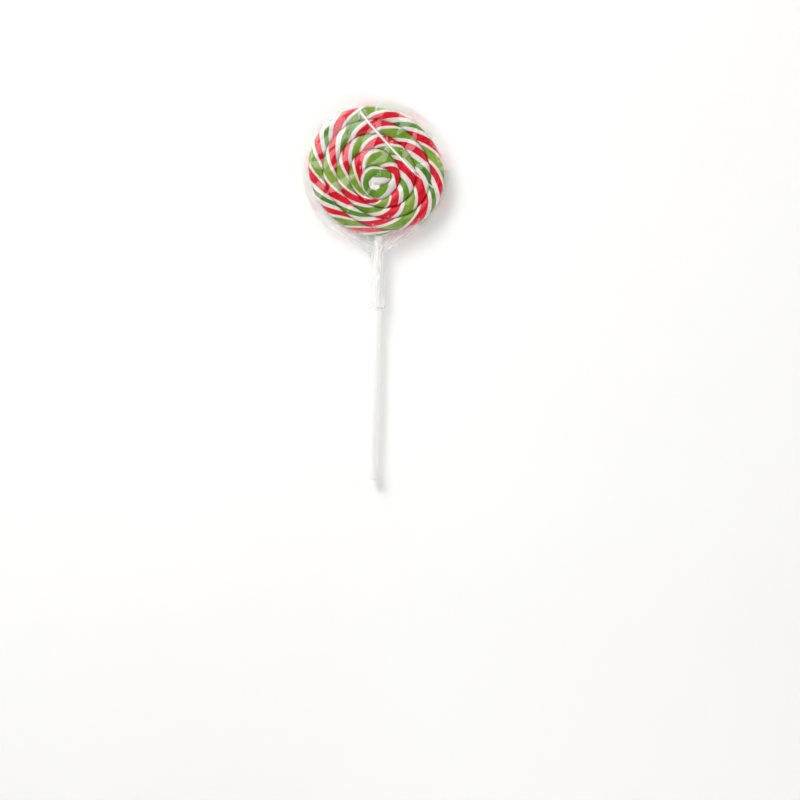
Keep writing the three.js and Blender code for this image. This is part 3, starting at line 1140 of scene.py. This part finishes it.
def score_folds(maker):
    """Cuts the film's upper side along both edges and the top of each fold."""
    for start, end, half_width, *_ in fold_segments():
        faces = [face for face in maker.faces if face.normal.z > FACING_UP]
        middles = np.array([face.calc_center_median().xy for face in faces]) / MM
        distance, _ = from_segment(middles, start, end)
        near = [faces[i] for i in np.nonzero(distance < half_width + FOLD_MARGIN)[0]]
        across = (end - start).orthogonal().normalized()
        geometry = list({part for face in near for part in (*face.verts, *face.edges, face)})
        for offset in (-half_width, 0.0, half_width):
            cut = bmesh.ops.bisect_plane(
                maker,
                geom=geometry,
                dist=FOLD_WELD * MM,
                plane_co=Vector((*(start + offset * across), 0)) * MM,
                plane_no=Vector((*across, 0)),
            )
            geometry = cut["geom"]


def raise_folds(maker, milk_and_highlight):
    """Lifts the film along each fold into a sharp ridge, milky and whitened partly as painted
    highlight.
    """
    verts = [vert for vert in maker.verts if vert.normal.z > FACING_UP]
    places = np.array([vert.co.xy for vert in verts]) / MM
    ridge = np.zeros(len(verts))
    for start, end, half_width, white, first, last in fold_segments():
        distance, along = from_segment(places, start, end)
        run = (end - start).length
        taper = np.ones(len(verts))
        if first:
            taper = np.minimum(taper, along * run / FOLD_TAPER)
        if last:
            taper = np.minimum(taper, (1 - along) * run / FOLD_TAPER)
        ridge = np.maximum(ridge, white * taper * np.clip(1 - distance / half_width, 0, 1))
    for vert, share in zip(verts, ridge):
        if share > 0:
            vert[milk_and_highlight] = max(vert[milk_and_highlight], share)
            vert.co.z = min(vert.co.z + FOLD_HEIGHT * share * MM, (MIDDLE_Z + BAG_TOP_HALF) * MM)


def make_bag(material):
    maker = bmesh.new()
    milk_and_highlight = maker.verts.layers.float.new("milk_and_highlight")
    rows = BAG_HEAD_ROWS + BAG_GATHER_ROWS + BAG_TAIL_ROWS
    round_steps = BAG_STEPS_OVER + BAG_STEPS_UNDER
    verts = bmesh.ops.create_grid(
        maker, x_segments=rows, y_segments=round_steps, size=1.0
    )["verts"]
    flats = rim_flats()
    for vert in verts:
        row = round((vert.co.x + 1) / 2 * rows)
        step = round((1 - vert.co.y) / 2 * round_steps) % round_steps
        spot, vert[milk_and_highlight] = bag_point(row, step, flats)
        vert.co = spot * MM
    bmesh.ops.remove_doubles(maker, verts=maker.verts, dist=BAG_WELD * MM)
    bmesh.ops.recalc_face_normals(maker, faces=maker.faces)
    maker.normal_update()
    score_folds(maker)
    maker.normal_update()
    raise_folds(maker, milk_and_highlight)
    for face in maker.faces:
        face.smooth = True
    bag = finished(maker, "film_bag", material)
    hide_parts("wrapper")


def film_material():
    material, tree, surface = new_material("clear_film")
    place = own_place(tree)

    # Fine crinkles where the film is gathered.
    crinkle = shader_node(
        tree,
        "ShaderNodeTexVoronoi",
        {"Vector": place, "Scale": CRINKLE_FINENESS},
        feature="DISTANCE_TO_EDGE",
    ).outputs["Distance"]
    along = shader_node(tree, "ShaderNodeSeparateXYZ", {0: place}).outputs[1]
    gather = mapped(tree, along, GATHERED_Y[0] * MM, GATHERED_Y[1] * MM, 1.0, 0.0)
    crinkled = sums(tree, "MULTIPLY", crinkle, gather)

    # Pulled over the disc, the film falls a little all the way out to its shoulder.
    share_out = mapped(tree, across_from(tree, place, Vector((0, 0))), 0.0, BAG_SHOULDER * MM)
    fall = sums(tree, "MULTIPLY", sums(tree, "POWER", share_out, 2.0), -FILM_FALL)
    falling = bumped(tree, 1.0, 1.0, fall)
    facing = bumped(tree, 0.5, CRINKLE_DEPTH, crinkled, falling)

    # Clear film mirrors more the lower it is looked along.
    clear = shader_node(tree, "ShaderNodeBsdfTransparent", {"Color": (0.995, 0.995, 0.995, 1)})
    gloss = shader_node(
        tree, "ShaderNodeBsdfGlossy", {"Color": (1, 1, 1, 1), "Roughness": 0.05, "Normal": facing}
    )
    slant = shader_node(
        tree, "ShaderNodeLayerWeight", {"Blend": 0.5, "Normal": facing}
    ).outputs["Facing"]
    grazing = sums(tree, "POWER", slant, FILM_GRAZING_POWER)
    shine = sums(tree, "MULTIPLY_ADD", grazing, FILM_GRAZING_SHINE, FILM_SHINE)
    clear_film = mixed(tree, shine, clear.outputs[0], gloss.outputs[0])

    # Folds and the gather are milky; the folds' white is partly painted highlight.
    set_values(surface, {"Base Color": tone(253, 252, 251), "Roughness": 0.1, "IOR": 1.5})
    feed(tree, surface.inputs["Normal"], facing)
    gathered_haze = sums(tree, "MULTIPLY", gather, GATHERED_HAZE)
    haze = sums(tree, "MULTIPLY_ADD", marked(tree, "milk_and_highlight"), FOLD_MILK_AND_HIGHLIGHT, gathered_haze)
    film = mixed(tree, haze, clear_film, surface.outputs[0])
    feed(tree, tree.nodes["Material Output"].inputs["Surface"], film)
    return material


# ---- The whole -------------------------------------------------------------------

bpy.context.scene.view_settings.view_transform = "Standard"

make_camera()
make_floor(floor_material())
make_room()
make_lights()
make_candy(sugar_material())
make_stick(stick_material())
make_bag(film_material())
